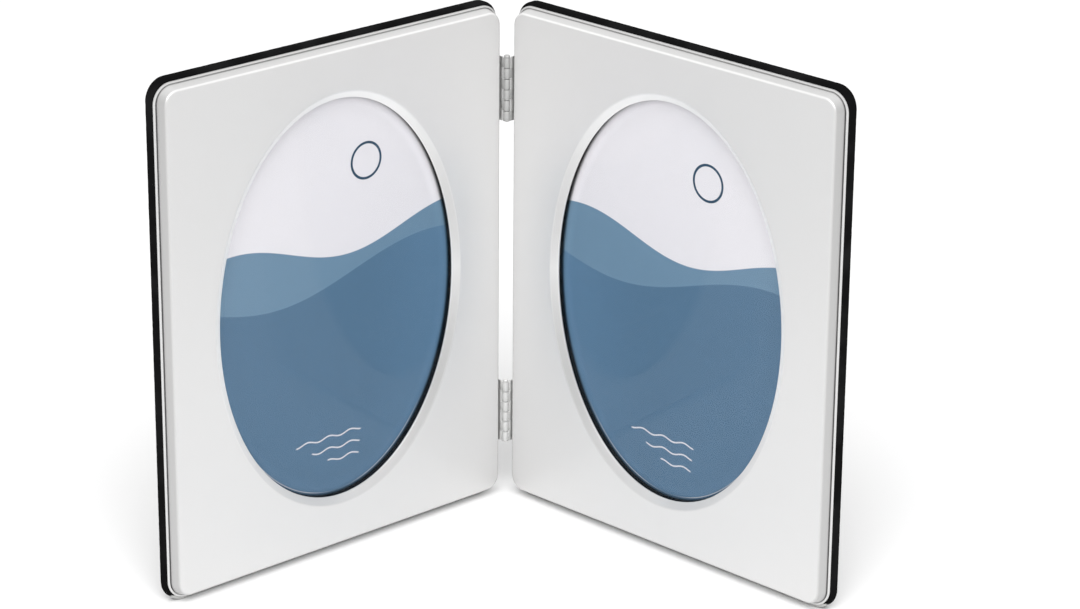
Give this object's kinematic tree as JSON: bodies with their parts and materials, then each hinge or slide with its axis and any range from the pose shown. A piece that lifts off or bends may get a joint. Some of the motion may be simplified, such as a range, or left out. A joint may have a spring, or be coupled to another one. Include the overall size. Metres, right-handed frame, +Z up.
{
  "type": "hinged double photo frame",
  "caption": "Folding double photo frame: upright silver-plated panels with oval openings, joined by butt hinges, with black velvet backs.",
  "frame": {"origin": "middle of the standing footprint (bounding box bottom centre), on the surface the frame stands on", "axes": "+Z up along the hinge axis, -Y towards the viewer in front of the open faces, +X to the viewer's right"},
  "size_m": [0.2162, 0.099, 0.175],
  "materials": {
    "silver_plate": "lacquered silver plate, softly polished",
    "clear_glass": "clear float glass",
    "printed_paper": "printed paper, pale above and slate blue below",
    "fibreboard": "bare brown fibreboard",
    "grey_card": "grey pressed card",
    "black_velvet": "black velvet on board",
    "nickel_steel": "bright nickel-plated steel"
  },
  "bodies": {
    "left_panel": {"left_front_plate": "silver_plate", "left_glass": "clear_glass", "left_picture_print": "printed_paper", "left_glazing_frame": "fibreboard", "left_pressure_card": "grey_card", "left_back_surround": "black_velvet", "left_back_panel": "black_velvet", "left_button_rivets": "nickel_steel", "left_lower_hinge_leaf": "nickel_steel", "left_upper_hinge_leaf": "nickel_steel", "left_hinge_screws": "nickel_steel", "lower_hinge_pin": "nickel_steel", "upper_hinge_pin": "nickel_steel"},
    "right_panel": {"right_front_plate": "silver_plate", "right_glass": "clear_glass", "right_picture_print": "printed_paper", "right_glazing_frame": "fibreboard", "right_pressure_card": "grey_card", "right_back_surround": "black_velvet", "right_back_panel": "black_velvet", "right_button_rivets": "nickel_steel", "right_lower_hinge_leaf": "nickel_steel", "right_upper_hinge_leaf": "nickel_steel", "right_hinge_screws": "nickel_steel"},
    "left_turn_button_upper_inner": {"left_turn_button_upper_inner": "nickel_steel"},
    "left_turn_button_upper_outer": {"left_turn_button_upper_outer": "nickel_steel"},
    "left_turn_button_lower_inner": {"left_turn_button_lower_inner": "nickel_steel"},
    "left_turn_button_lower_outer": {"left_turn_button_lower_outer": "nickel_steel"},
    "right_turn_button_upper_inner": {"right_turn_button_upper_inner": "nickel_steel"},
    "right_turn_button_upper_outer": {"right_turn_button_upper_outer": "nickel_steel"},
    "right_turn_button_lower_inner": {"right_turn_button_lower_inner": "nickel_steel"},
    "right_turn_button_lower_outer": {"right_turn_button_lower_outer": "nickel_steel"}
  },
  "joints": [
    {"name": "fold", "type": "hinge", "parent": "left_panel", "child": "right_panel", "pos_m": [0, 0.04416, 0.0875], "axis": [0, 0, 1], "range_deg": [-94.3, 91.5]},
    {"name": "left_turn_button_upper_inner_turn", "type": "hinge", "parent": "left_panel", "child": "left_turn_button_upper_inner", "pos_m": [-0.01491, 0.04186, 0.1325], "axis": [-0.6801, 0.7331, 0], "continuous": true},
    {"name": "left_turn_button_upper_outer_turn", "type": "hinge", "parent": "left_panel", "child": "left_turn_button_upper_outer", "pos_m": [-0.09996, -0.03703, 0.1325], "axis": [-0.6801, 0.7331, 0], "continuous": true},
    {"name": "left_turn_button_lower_inner_turn", "type": "hinge", "parent": "left_panel", "child": "left_turn_button_lower_inner", "pos_m": [-0.01491, 0.04186, 0.0425], "axis": [-0.6801, 0.7331, 0], "continuous": true},
    {"name": "left_turn_button_lower_outer_turn", "type": "hinge", "parent": "left_panel", "child": "left_turn_button_lower_outer", "pos_m": [-0.09996, -0.03703, 0.0425], "axis": [-0.6801, 0.7331, 0], "continuous": true},
    {"name": "right_turn_button_upper_inner_turn", "type": "hinge", "parent": "right_panel", "child": "right_turn_button_upper_inner", "pos_m": [0.01491, 0.04186, 0.1325], "axis": [0.6801, 0.7331, 0], "continuous": true},
    {"name": "right_turn_button_upper_outer_turn", "type": "hinge", "parent": "right_panel", "child": "right_turn_button_upper_outer", "pos_m": [0.09996, -0.03703, 0.1325], "axis": [0.6801, 0.7331, 0], "continuous": true},
    {"name": "right_turn_button_lower_inner_turn", "type": "hinge", "parent": "right_panel", "child": "right_turn_button_lower_inner", "pos_m": [0.01491, 0.04186, 0.0425], "axis": [0.6801, 0.7331, 0], "continuous": true},
    {"name": "right_turn_button_lower_outer_turn", "type": "hinge", "parent": "right_panel", "child": "right_turn_button_lower_outer", "pos_m": [0.09996, -0.03703, 0.0425], "axis": [0.6801, 0.7331, 0], "continuous": true}
  ]
}
